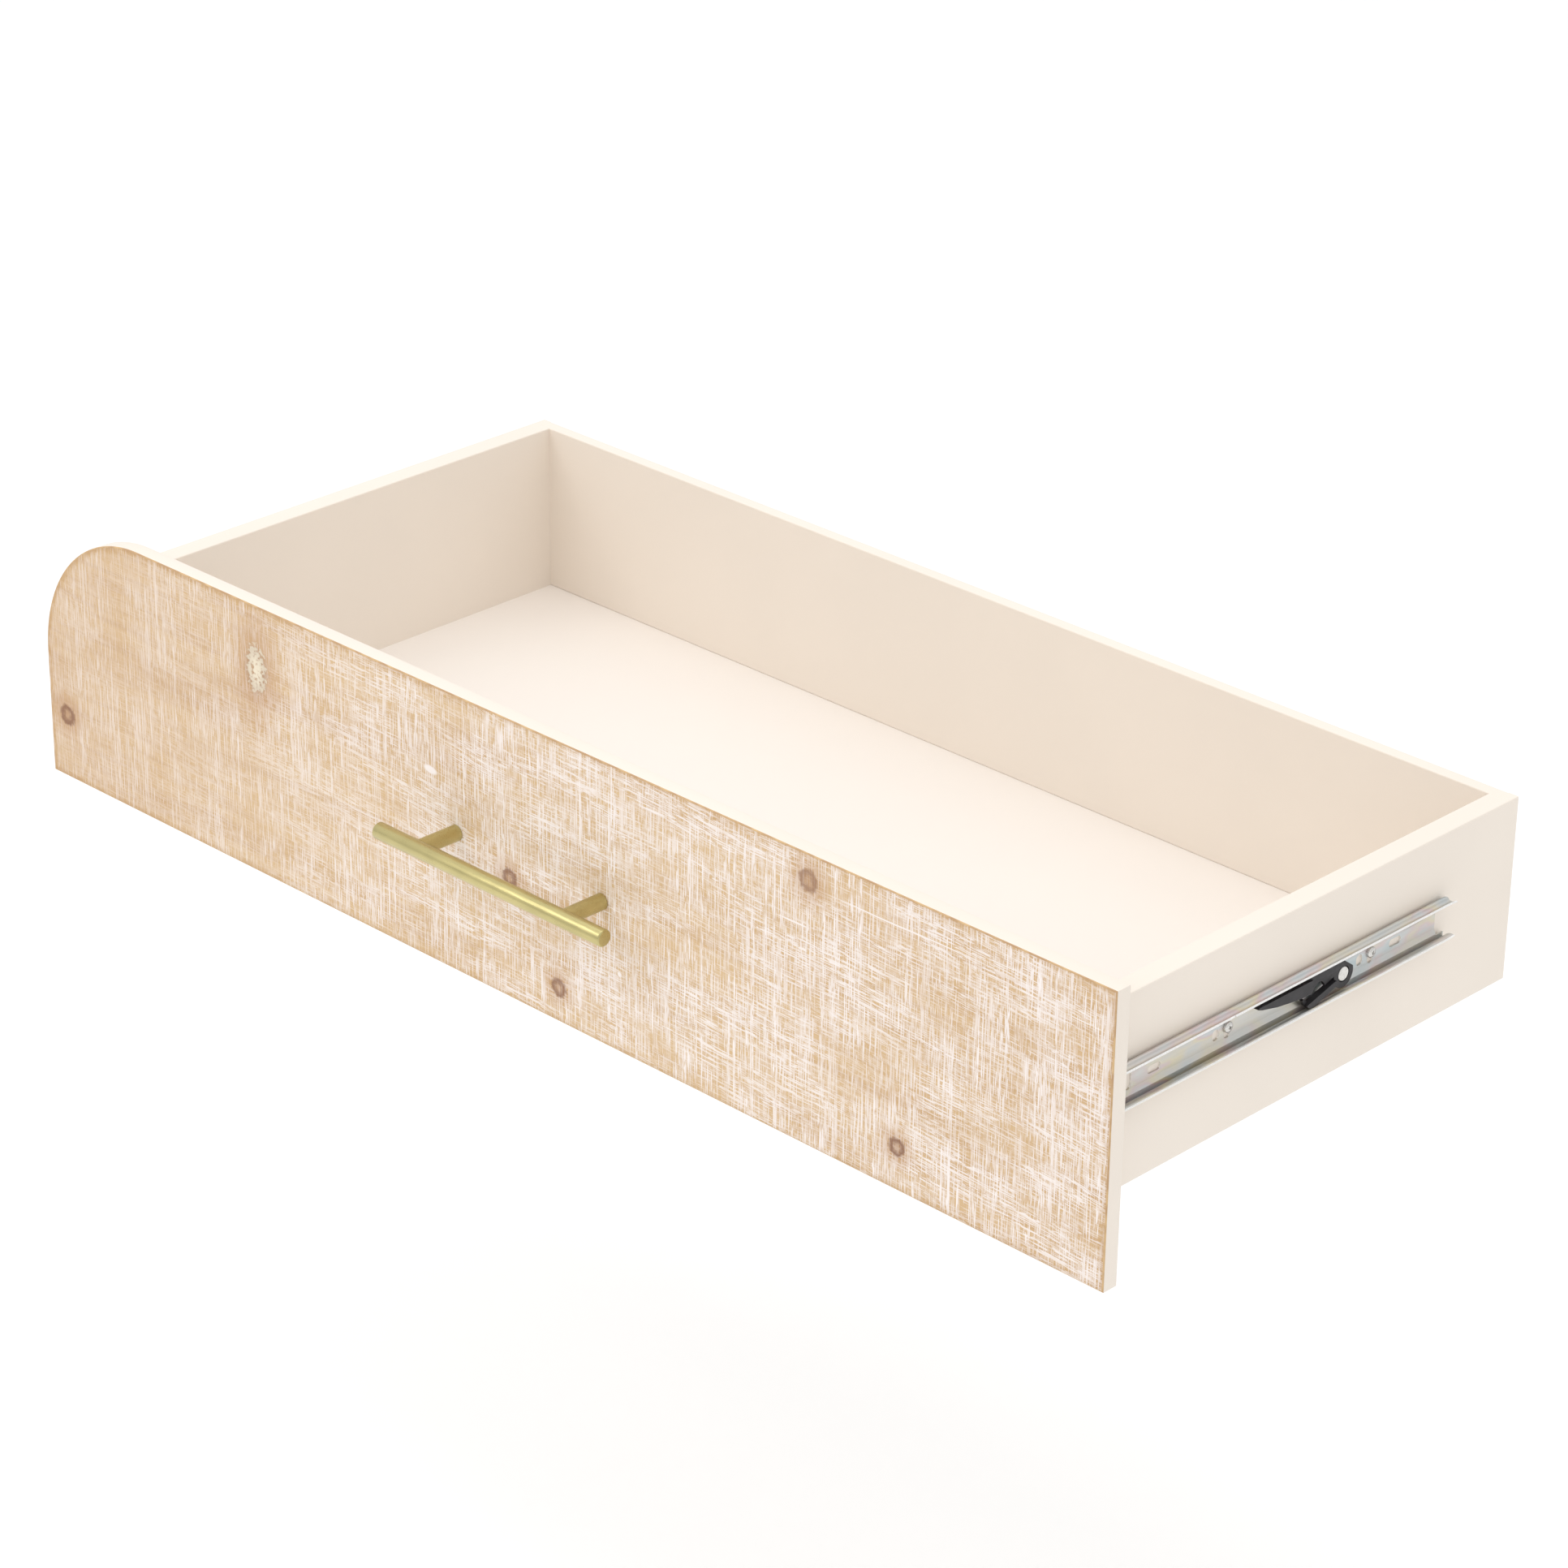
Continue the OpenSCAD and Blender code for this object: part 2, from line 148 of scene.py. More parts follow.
class DrawerFinishes(bpy.types.PropertyGroup):
    pine: colour("Pine", "Bare sawn pine", "#d7b687")
    pine_dark: colour("Dark pine", "Late wood in the pine's grain", "#c59e6e")
    whitewash: colour("Whitewash", "Dry-brushed white", "#faf2ef")
    knot: colour("Knot", "Dark rings of the knots", "#7d5138")
    knot_middle: colour("Knot middle", "Wood inside a knot", "#b58a66")
    halo: colour("Halo", "Darkened wood round a knot", "#bd9166")
    resin: colour("Resin", "Resin that fills a knot hole", "#f6ebd2")
    rubbed_edge: colour("Rubbed edge", "Edges where the wash is rubbed off", "#bd9870")
    paint: colour("Paint", "Cream paint of the box", "#efe5d9")
    foil: colour("Foil", "Cream foil of the bottom", "#f0e9e2")
    brass: colour("Brass", "Satin brass of the handle", "#c9bd86")
    zinc: colour("Zinc", "Passivated zinc of the slides", "#cfcdc7")
    # Near white: pale cut steel, made lighter still to stand for a painted highlight along the slides'
    # lips
    sheared: colour("Sheared edge", "Cut edges of the slides", "#fbfaf8")
    bright_zinc: colour("Bright zinc", "Zinc of the screws", "#dcdad6")
    nylon: colour("Nylon", "Black nylon of the levers", "#1d1a1c")
    beech: colour("Beech", "Beech of the dowels", "#d9b98a")
    floor: colour("Floor", "Studio floor", "#ffffff")


GROUPS = {
    "drawer_front": DrawerFrontSizes, "drawer_handle": DrawerHandleSizes,
    "drawer_screw": DrawerScrewSizes, "drawer_slide": DrawerSlideSizes,
    "drawer_lever": DrawerLeverSizes, "drawer_finish": DrawerFinishes,
}


# --- materials ---------------------------------------------------------------

# Kinds of node that the finishes use again and again, with their settings. These sums and products
# are held between 0 and 1.
MATH, VECTOR, MIX, RANGE = "ShaderNodeMath", "ShaderNodeVectorMath", "ShaderNodeMix", "ShaderNodeMapRange"
PLUS = {"operation": "ADD", "use_clamp": True}
MINUS = {"operation": "SUBTRACT", "use_clamp": True}
TIMES = {"operation": "MULTIPLY", "use_clamp": True}
LARGER = {"operation": "MAXIMUM", "use_clamp": True}
COLOURS = {"data_type": "RGBA"}
EASED = {"interpolation_type": "SMOOTHSTEP"}


def add(tree, kind, inputs=(), output=None, stops=(), **settings):
    """Adds a node with its settings and links, and returns its named output, or else its first.
    inputs are sockets or values, by name or in order, and stops are a ramp's (place, value or
    colour)."""
    node = tree.nodes.new(kind)
    for name, value in settings.items():
        setattr(node, name, value)
    if isinstance(inputs, dict):
        pairs = [(node.inputs[name], value) for name, value in inputs.items()]
    else:
        pairs = zip([socket for socket in node.inputs if socket.enabled], inputs)
    for socket, value in pairs:
        if isinstance(value, bpy.types.NodeSocket):
            tree.links.new(value, socket)
        else:
            socket.default_value = rgba(value) if socket.type == "RGBA" else value
    if stops:
        ramp = node.color_ramp.elements
        while len(ramp) < len(stops):
            ramp.new(1.0)
        for element, (place, value) in zip(ramp, stops):
            element.position = place
            element.color = (value, value, value, 1.0) if isinstance(value, float) else rgba(value)
    if output:
        return node.outputs[output]
    return next((socket for socket in node.outputs if socket.enabled), None)


def start_material(name):
    """An empty node material. Returns (material, tree, Object coordinates)."""
    material = bpy.data.materials.new(name)
    material.use_nodes = True
    tree = material.node_tree
    tree.nodes.clear()
    return material, tree, add(tree, "ShaderNodeTexCoord", output="Object")


def end_material(tree, surface, height=None, depth=0.0, strength=1.0):
    """Adds the shader, which takes surface by socket name, and its bumps, which are depth metres
    from the lowest to the highest."""
    if height is not None:
        surface["Normal"] = add(tree, "ShaderNodeBump", {
            "Height": height, "Strength": strength, "Distance": depth})
    shader = add(tree, "ShaderNodeBsdfPrincipled", surface)
    add(tree, "ShaderNodeOutputMaterial", {"Surface": shader})


def stretched_noise(tree, place, cell, turn=(0, 0, 0), offset=0.0, detail=2.0, rough=0.5):
    """Noise whose cells have the given size in metres along X, Y and Z."""
    mapped = add(tree, "ShaderNodeMapping", {
        "Vector": place, "Location": (offset, 0, offset), "Rotation": turn, "Scale": cell},
        vector_type="TEXTURE")
    return add(tree, "ShaderNodeTexNoise", {
        "Vector": mapped, "Scale": 1.0, "Detail": detail, "Roughness": rough})


def even_noise(tree, place, cell, **settings):
    """Noise whose cells are as long as they are wide and high."""
    return stretched_noise(tree, place, (cell, cell, cell), **settings)


# Knots in the front, from its lower left corner: across, up, half width, half height in
# millimetres, and how dark the ring is
KNOTS = [
    (18, 46, 7, 7, 0.95), (451, 82, 6, 6, 0.9), (701, 171, 7, 7, 0.7), (494, 23, 6, 6, 0.9),
    (774, 28, 6, 6, 1.0)]
# A knot hole filled with pale resin, given the same way
RESIN = (217, 144, 10, 16, 0.4)
# Thick white strokes and patches: across, up, half width, half height in millimetres
WHITE_MARKS = [
    (217, 137, 4, 5), (381, 130, 7, 3), (547, 52, 2, 2), (776, 168, 64, 0.6), (690, 141, 14, 0.7),
    (574, 169, 11, 0.6)]


def reach(tree, place, spot):
    """How far a point of the face is from a spot's middle, where 1 is the spot's own outline."""
    across, up, half_width, half_height = spot[:4]
    middle = (panel_low.x + across * MM, panel_low.y, panel_low.z + up * MM)
    mapped = add(tree, "ShaderNodeMapping", {
        "Vector": place, "Location": middle, "Scale": (half_width * MM, 1.0, half_height * MM)},
        vector_type="TEXTURE")
    return add(tree, VECTOR, [mapped], operation="LENGTH")


def strokes(tree, place, line, gap, tilt, offset):
    """Straight strokes that break off and start again. line and gap are the (X, Z) cell sizes, in
    metres, of the lines and of their breaks, and tilt is in degrees."""
    turn = (0, math.radians(tilt), 0)
    lines = stretched_noise(tree, place, (line[0], 1, line[1]), turn, offset, 1.0)
    breaks = stretched_noise(tree, place, (gap[0], 1, gap[1]), turn, offset + 0.05, 2.0, 0.7)
    lines = add(tree, RANGE, (lines, 0.49, 0.54), **EASED)
    breaks = add(tree, RANGE, (breaks, 0.45, 0.53), **EASED)
    return add(tree, MATH, (lines, breaks), **TIMES)


def sawn_wood(tree, place, bent, across, finish):
    """Tan wood with darker late wood along the board, and both ends a little darker than the
    middle."""
    grain = stretched_noise(tree, bent, (110 * MM, 1, 5 * MM), offset=0.31, detail=4.0, rough=0.6)
    broad = stretched_noise(tree, place, (160 * MM, 1, 26 * MM), offset=0.77)
    grain = add(tree, RANGE, (grain, 0.42, 0.68, 0.0, 0.45), **EASED)
    broad = add(tree, RANGE, (broad, 0.45, 0.75, 0.0, 0.45), **EASED)
    tone = add(tree, MATH, (grain, broad), **PLUS)
    left_end = add(tree, RANGE, (across, panel_low.x, panel_low.x + 340 * MM, 0.42, 0.0), **EASED)
    right_end = add(tree, RANGE, (across, panel_high.x - 330 * MM, panel_high.x, 0.0, 0.3), **EASED)
    tone = add(tree, MATH, (tone, add(tree, MATH, (left_end, right_end), **PLUS)), **PLUS)
    return add(tree, MIX, (tone, finish.pine, finish.pine_dark), **COLOURS)


def whitewash(tree, place, bent, across):
    """Where the white lies: in the upright saw marks and the level scratches, thicker in patches.
    Each set of strokes comes in two widths. Returns (all the white, the level strokes, the saw
    marks)."""
    patch = stretched_noise(tree, place, (46 * MM, 1, 40 * MM), offset=0.05, detail=4.0, rough=0.6)
    other_patch = stretched_noise(tree, place, (60 * MM, 1, 24 * MM), offset=0.43, detail=3.0)
    saw_marks = strokes(tree, bent, (0.5 * MM, 420 * MM), (1.2 * MM, 15 * MM), 0.0, 0.13)
    saw_bands = strokes(tree, bent, (1.3 * MM, 300 * MM), (2.0 * MM, 26 * MM), 0.0, 0.57)
    scratches = strokes(tree, bent, (190 * MM, 0.5 * MM), (9 * MM, 1.2 * MM), 1.5, 0.91)
    brushings = strokes(tree, bent, (120 * MM, 1.1 * MM), (16 * MM, 2 * MM), 3.0, 0.37)
    both = []
    for fine, wide, cover, wide_cover, all_cover in (
            (saw_marks, saw_bands, patch, (0.4, 0.6, 0.25, 0.75), (0.34, 0.54, 0.7, 1.0)),
            (scratches, brushings, other_patch, (0.42, 0.6, 0.1, 0.9), (0.38, 0.58, 0.5, 0.9))):
        wide = add(tree, MATH, (wide, add(tree, RANGE, (cover, *wide_cover), **EASED)), **TIMES)
        marks = add(tree, MATH, (fine, wide), **LARGER)
        both.append(add(tree, MATH, (marks, add(tree, RANGE, (cover, *all_cover), **EASED)), **TIMES))
    upright, level = both
    # The left end has a softer, milkier wash, with few level scratches
    left = panel_low.x
    fewer = add(tree, RANGE, (across, left + 60 * MM, left + 400 * MM, 0.4, 1.0), **EASED)
    level = add(tree, MATH, (level, fewer), **TIMES)
    white = add(tree, MATH, (upright, level), **LARGER)
    milky = add(tree, RANGE, (across, left, left + 330 * MM, 0.08, 0.03), **EASED)
    softer = add(tree, RANGE, (across, left, left + 500 * MM, 0.5, 0.93), **EASED)
    white = add(tree, MATH, (add(tree, MATH, (white, softer), **TIMES), milky), **PLUS)
    return white, level, saw_marks


def knot_shades(tree, place, rough_edge):
    """Each knot is a dark ring round a brown middle, in a warm halo. Returns how much each of the
    three shows at a point."""
    shades = None
    for spot in (*KNOTS, RESIN):
        darkness = spot[4]
        wobble = add(tree, RANGE, (rough_edge, 0.3, 0.7, -0.13, 0.13), **EASED)
        out = add(tree, MATH, (reach(tree, place, spot), wobble), operation="ADD")
        # The ramp ends at twice the knot's own outline
        half_out = add(tree, MATH, (out, 0.5), operation="MULTIPLY")
        ring = add(tree, "ShaderNodeValToRGB", [half_out], stops=[
            (0.0, 0.1), (0.13, 0.15), (0.27, 0.7 * darkness), (0.38, darkness), (0.45, 0.9 * darkness),
            (0.6, 0.0)])
        middle = add(tree, RANGE, (out, 0.8, 1.1, darkness * 0.4, 0.0), **EASED)
        halo = add(tree, RANGE, (out, 0.9, 3.2, 0.9, 0.0), **EASED)
        knot = (ring, middle, halo)
        shades = [add(tree, MATH, pair, **LARGER) for pair in zip(shades, knot)] if shades else knot
    return shades


def whitewashed_pine(finish):
    """Rough-sawn pine under a dry-brushed whitewash. The white sits in the upright saw marks and in
    the level scratches of the brush, and the tan wood shows between them."""
    material, tree, place = start_material("whitewashed_sawn_pine")
    # The brush and the saw wander, so the strokes bend a little
    wander = add(tree, "ShaderNodeTexNoise", {
        "Vector": place, "Scale": 1 / (110 * MM), "Detail": 1.0}, "Color")
    drift = add(tree, VECTOR, (wander, (0.5, 0.5, 0.5)), operation="SUBTRACT")
    bent = add(tree, VECTOR, (drift, (2.0 * MM, 0.0, 9 * MM), place), operation="MULTIPLY_ADD")
    across = add(tree, "ShaderNodeSeparateXYZ", [place])
    rough_edge = stretched_noise(tree, place, (3 * MM, 1, 3 * MM), offset=0.2, detail=3.0)

    wood = sawn_wood(tree, place, bent, across, finish)
    white, level, saw_marks = whitewash(tree, place, bent, across)
    ring, middle, halo = knot_shades(tree, place, rough_edge)
    thinner = add(tree, MATH, (1.0, add(tree, MATH, (halo, 0.55), **TIMES)), operation="SUBTRACT")
    white = add(tree, MATH, (white, thinner), **TIMES)
    for spot in WHITE_MARKS:
        mark = add(tree, RANGE, (reach(tree, bent, spot), 0.6, 1.15, 0.9, 0.0), **EASED)
        white = add(tree, MATH, (white, mark), **LARGER)

    # The border is rubbed down to the wood
    worn = add(tree, "ShaderNodeAttribute", output="Fac", attribute_name="edge_wear")
    worn = add(tree, MATH, (worn, 1.6), operation="POWER", use_clamp=True)
    rub = stretched_noise(tree, place, (12 * MM, 1, 12 * MM), offset=0.66, detail=3.0)
    worn = add(tree, MATH, (worn, add(tree, RANGE, (rub, 0.3, 0.65, 0.2, 0.7), **EASED)), **TIMES)
    wood = add(tree, MIX, (add(tree, MATH, (halo, 0.7), **TIMES), wood, finish.halo), **COLOURS)
    wood = add(tree, MIX, (worn, wood, finish.rubbed_edge), **COLOURS)
    white = add(tree, MATH, (white, add(tree, MATH, (worn, 0.7), **TIMES)), **MINUS)
    face = add(tree, MIX, (white, wood, finish.whitewash), **COLOURS)

    # The brush leaves level hatching over the knots' middles
    hatching = add(tree, MATH, (level, 0.6), **TIMES)
    hatching = add(tree, MATH, (1.0, hatching), operation="SUBTRACT")
    middle = add(tree, MATH, (middle, hatching), **TIMES)
    face = add(tree, MIX, (middle, face, finish.knot_middle), **COLOURS)
    # Resin fills the largest knot hole, with a stained, uneven surface
    stain = add(tree, RANGE, (rough_edge, 0.52, 0.66, 0.0, 0.8), **EASED)
    filler = add(tree, MIX, (stain, finish.resin, finish.halo), **COLOURS)
    wobble = add(tree, RANGE, (rough_edge, 0.3, 0.7, -0.25, 0.2), **EASED)
    resin = add(tree, MATH, (reach(tree, bent, RESIN), wobble), **PLUS)
    resin = add(tree, RANGE, (resin, 0.75, 1.0, 0.95, 0.0), **EASED)
    face = add(tree, MIX, (resin, face, filler), **COLOURS)
    face = add(tree, MIX, (add(tree, MATH, (ring, 0.8), **TIMES), face, finish.knot), **COLOURS)

    roughness = add(tree, RANGE, (white, 0.0, 1.0, 0.62, 0.8), **EASED)
    height = add(tree, MATH, (white, add(tree, MATH, (saw_marks, 0.5), **TIMES)), operation="ADD")
    end_material(tree, {"Base Color": face, "Roughness": roughness}, height, 0.2 * MM, 0.4)
    return material


def rubbed_pine_edge(finish):
    """Pine whose wash is sanded off at a corner, so that a thin brown line runs round the face."""
    material, tree, place = start_material("rubbed_pine_edge")
    mottle = even_noise(tree, place, 9 * MM, detail=3.0)
    share = add(tree, RANGE, (mottle, 0.35, 0.7), **EASED)
    end_material(tree, {
        "Base Color": add(tree, MIX, (share, finish.rubbed_edge, finish.pine), **COLOURS),
        "Roughness": add(tree, RANGE, (mottle, 0.3, 0.7, 0.55, 0.75), **EASED),
    }, mottle, 0.2 * MM, 0.4)
    return material


def satin_paint(name, tint, sheen_low, sheen_high, film):
    """Sprayed satin lacquer on board: smooth, with the faint orange peel of a spray gun and a
    barely uneven film."""
    material, tree, place = start_material(name)
    cloud = even_noise(tree, place, 120 * MM)
    peel = even_noise(tree, place, 2.2 * MM)
    share = add(tree, RANGE, (cloud, 0.3, 0.7), **EASED)
    end_material(tree, {
        "Base Color": add(tree, MIX, (share, tint, dimmed(tint, 1.0 - film)), **COLOURS),
        "Roughness": add(tree, RANGE, (cloud, 0.3, 0.7, sheen_low, sheen_high), **EASED),
    }, peel, 0.04 * MM, 0.35)
    return material


def satin_brass(finish):
    """Brass turned, brushed along the bar and lacquered: a soft metal sheen with fine lines."""
    material, tree, place = start_material("satin_brass")
    lines = stretched_noise(tree, place, (14 * MM, 0.5 * MM, 0.5 * MM), detail=3.0)
    cloud = even_noise(tree, place, 30 * MM, offset=0.4)
    share = add(tree, RANGE, (cloud, 0.35, 0.65), **EASED)
    end_material(tree, {
        "Base Color": add(tree, MIX, (share, finish.brass, dimmed(finish.brass, 0.9)), **COLOURS),
        "Roughness": add(tree, RANGE, (lines, 0.3, 0.7, 0.26, 0.4), **EASED),
        "Metallic": 1.0,
    }, lines, 0.02 * MM, 0.4)
    return material


def passivated_zinc(finish):
    """Rolled steel, zinc-plated and passivated: soft grey metal with drifting yellow, pink and blue
    tints and the faint lines of rolling."""
    material, tree, place = start_material("passivated_zinc")
    drift = stretched_noise(tree, place, (14 * MM, 40 * MM, 14 * MM))
    film = add(tree, "ShaderNodeValToRGB", [drift], stops=[
        (0.30, linear("#b5c4cc")), (0.42, linear("#cfcdc7")), (0.50, linear("#d8ceb0")),
        (0.56, linear("#d2bcbe")), (0.62, linear("#c8cccf")), (0.75, linear("#b0c4c9"))])
    amount = stretched_noise(tree, place, (25 * MM, 60 * MM, 25 * MM), offset=0.5)
    share = add(tree, RANGE, (amount, 0.35, 0.65, 0.15, 0.75), **EASED)
    rolled = stretched_noise(tree, place, (0.8 * MM, 30 * MM, 0.8 * MM), offset=0.2, detail=3.0)
    end_material(tree, {
        "Base Color": add(tree, MIX, (share, finish.zinc, film), **COLOURS),
        "Roughness": add(tree, RANGE, (rolled, 0.3, 0.7, 0.32, 0.46), **EASED),
        "Metallic": 0.85,
    }, rolled, 0.02 * MM, 0.35)
    return material


def sheared_steel(finish):
    """The cut edge of plated sheet and the lip beside it: torn finely by the shear, so it is paler and
    duller than the rolled face, and made near white as a painted highlight along the lip."""
    material, tree, place = start_material("sheared_steel_edge")
    tears = stretched_noise(tree, place, (1.5 * MM, 0.5 * MM, 1.5 * MM))
    share = add(tree, RANGE, (tears, 0.35, 0.65), **EASED)
    end_material(tree, {
        "Base Color": add(tree, MIX, (share, finish.sheared, dimmed(finish.sheared, 0.9)), **COLOURS),
        "Roughness": add(tree, RANGE, (tears, 0.3, 0.7, 0.45, 0.6), **EASED),
        "Metallic": 0.8,
    }, tears, 0.03 * MM, 0.4)
    return material


def bright_zinc(finish):
    """Barrel-plated zinc on small steel parts: bright, with soft tumbling marks."""
    material, tree, place = start_material("barrel_plated_zinc")
    marks = even_noise(tree, place, 0.9 * MM, detail=3.0)
    share = add(tree, RANGE, (marks, 0.35, 0.7), **EASED)
    darker = dimmed(finish.bright_zinc, 0.86)
    end_material(tree, {
        "Base Color": add(tree, MIX, (share, finish.bright_zinc, darker), **COLOURS),
        "Roughness": add(tree, RANGE, (marks, 0.3, 0.7, 0.2, 0.36), **EASED),
        "Metallic": 1.0,
    }, marks, 0.02 * MM, 0.3)
    return material


def moulded_nylon(finish):
    """Injection-moulded black nylon: a fine spark-eroded grain, in a faintly clouded black."""
    material, tree, place = start_material("moulded_black_nylon")
    grit = even_noise(tree, place, 0.35 * MM)
    cloud = even_noise(tree, place, 9 * MM, offset=0.3)
    paler = tuple(c * 1.5 + 0.004 for c in finish.nylon)
    share = add(tree, RANGE, (cloud, 0.35, 0.7), **EASED)
    end_material(tree, {
        "Base Color": add(tree, MIX, (share, finish.nylon, paler), **COLOURS),
        "Roughness": add(tree, RANGE, (grit, 0.3, 0.7, 0.42, 0.6), **EASED),
    }, grit, 0.03 * MM, 0.5)
    return material


def plain_beech(finish):
    """Beech dowel rod: pale, close-grained, with short dark flecks along its length."""
    material, tree, place = start_material("plain_beech")
    flecks = stretched_noise(tree, place, (4 * MM, 0.5 * MM, 0.5 * MM), detail=3.0)
    share = add(tree, RANGE, (flecks, 0.5, 0.72), **EASED)
    end_material(tree, {
        "Base Color": add(tree, MIX, (share, finish.beech, dimmed(finish.beech, 0.72)), **COLOURS),
        "Roughness": add(tree, RANGE, (flecks, 0.3, 0.7, 0.5, 0.65), **EASED),
    }, flecks, 0.05 * MM, 0.4)
    return material


def studio_floor(finish):
    """Matt white studio vinyl, faintly uneven."""
    material, tree, place = start_material("white_studio_vinyl")
    cloud = even_noise(tree, place, 0.9)
    end_material(tree, {
        "Base Color": add(tree, MIX, (cloud, finish.floor, dimmed(finish.floor, 0.985)), **COLOURS),
        "Roughness": 0.9,
        "Specular IOR Level": 0.1,
    })
    return material


made = {}


def finishes():
    """Every material, made once, by name."""
    if not made:
        colours = bpy.context.scene.drawer_finish
        made.update(
            pine=whitewashed_pine(colours), edge=rubbed_pine_edge(colours),
            paint=satin_paint("satin_cream_paint", colours.paint, 0.42, 0.5, 0.02),
            foil=satin_paint("satin_cream_foil", colours.foil, 0.38, 0.46, 0.012),
            brass=satin_brass(colours), zinc=passivated_zinc(colours), screw=bright_zinc(colours),
            sheared=sheared_steel(colours),
            nylon=moulded_nylon(colours), beech=plain_beech(colours), floor=studio_floor(colours))
    return made


# --- mesh helpers ------------------------------------------------------------


def finish_piece(name, shape, materials, replaced=(), body="drawer", sharp=30.0):
    """Turns a bmesh into a piece that stands for CAD nodes and rides on a body. body is None for a piece
    that is left without a body."""
    mesh = bpy.data.meshes.new(name)
    shape.to_mesh(mesh)
    shape.free()
    mesh.shade_smooth()
    mesh.set_sharp_from_angle(angle=math.radians(sharp))
    for material in materials:
        mesh.materials.append(material)
    piece = bpy.data.objects.new(name, mesh)
    bpy.context.scene.collection.objects.link(piece)
    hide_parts(*replaced)
    if body:
        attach(piece, body)
    return piece


def dress(node, material):
    """Gives a CAD node its finish."""
    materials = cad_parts[node].data.materials
    materials.clear()
    materials.append(material)


def turned(profile, steps, matrix=None):
    """A turned solid: an outline of (radius, height) points spun round Z, then placed."""
    shape = bmesh.new()
    points = [shape.verts.new((radius, 0.0, height)) for radius, height in profile]
    line = [shape.edges.new(pair) for pair in zip(points, points[1:])]
    bmesh.ops.spin(
        shape, geom=points + line, cent=(0, 0, 0), axis=(0, 0, 1), dvec=(0, 0, 0),
        angle=math.tau, steps=steps, use_merge=True)
    bmesh.ops.remove_doubles(shape, verts=shape.verts, dist=0.001 * MM)
    bmesh.ops.recalc_face_normals(shape, faces=shape.faces)
    if matrix:
        bmesh.ops.transform(shape, matrix=matrix, verts=shape.verts)
    return shape


def merged_copy(node):
    """A CAD node's shape with its loose triangles joined into one skin of flat faces."""
    shape = bmesh.new()
    shape.from_mesh(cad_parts[node].data)
    bmesh.ops.remove_doubles(shape, verts=shape.verts, dist=0.002 * MM)
    bmesh.ops.dissolve_limit(
        shape, angle_limit=math.radians(0.5), verts=shape.verts, edges=shape.edges)
    return shape


def put_together(shapes):
    """Several bmeshes as one."""
    whole = bmesh.new()
    for shape in shapes:
        mesh = bpy.data.meshes.new("part")
        shape.to_mesh(mesh)
        shape.free()
        whole.from_mesh(mesh)
        bpy.data.meshes.remove(mesh)
    return whole


def cut_away(shape, cutter):
    """shape less cutter, both closed bmeshes."""
    objects = []
    for part in (shape, cutter):
        mesh = bpy.data.meshes.new("part")
        part.to_mesh(mesh)
        part.free()
        part_object = bpy.data.objects.new("part", mesh)
        bpy.context.scene.collection.objects.link(part_object)
        objects.append(part_object)
    kept, removed = objects
    boolean = kept.modifiers.new("cut", "BOOLEAN")
    boolean.operation = "DIFFERENCE"
    boolean.solver = "EXACT"
    boolean.object = removed
    evaluated = kept.evaluated_get(bpy.context.evaluated_depsgraph_get())
    result = bmesh.new()
    result.from_mesh(evaluated.to_mesh())
    evaluated.to_mesh_clear()
    for part_object in objects:
        mesh = part_object.data
        bpy.data.objects.remove(part_object)
        bpy.data.meshes.remove(mesh)
    return result


def round_edges(piece, width, segments=2, angle=35.0):
    """Rounds a piece's sharp edges with a live bevel, and keeps its flat faces flat to the eye."""
    bevel = piece.modifiers.new("rounded_edges", "BEVEL")
    bevel.width = width
    bevel.segments = segments
    bevel.limit_method = "ANGLE"
    bevel.angle_limit = math.radians(angle)
    bevel.use_clamp_overlap = True
    bevel.harden_normals = True


def parts_of(node):
    """The (lowest, highest) corners of each separate solid in a CAD node, in order along Y, X and Z."""
    shape = bmesh.new()
    shape.from_mesh(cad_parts[node].data)
    bmesh.ops.remove_doubles(shape, verts=shape.verts, dist=0.002 * MM)
    boxes = []
    left = set(shape.verts)
    while left:
        front = [left.pop()]
        island = []
        while front:
            vert = front.pop()
            island.append(vert.co.copy())
            for edge in vert.link_edges:
                other = edge.other_vert(vert)
                if other in left:
                    left.remove(other)
                    front.append(other)
        low = Vector([min(point[i] for point in island) for i in range(3)])
        high = Vector([max(point[i] for point in island) for i in range(3)])
        boxes.append((low, high))
    shape.free()
    return sorted(boxes, key=lambda pair: tuple(round(c, 5) for c in (*pair[0].yxz,)))


# --- pieces --------------------------------------------------------------------


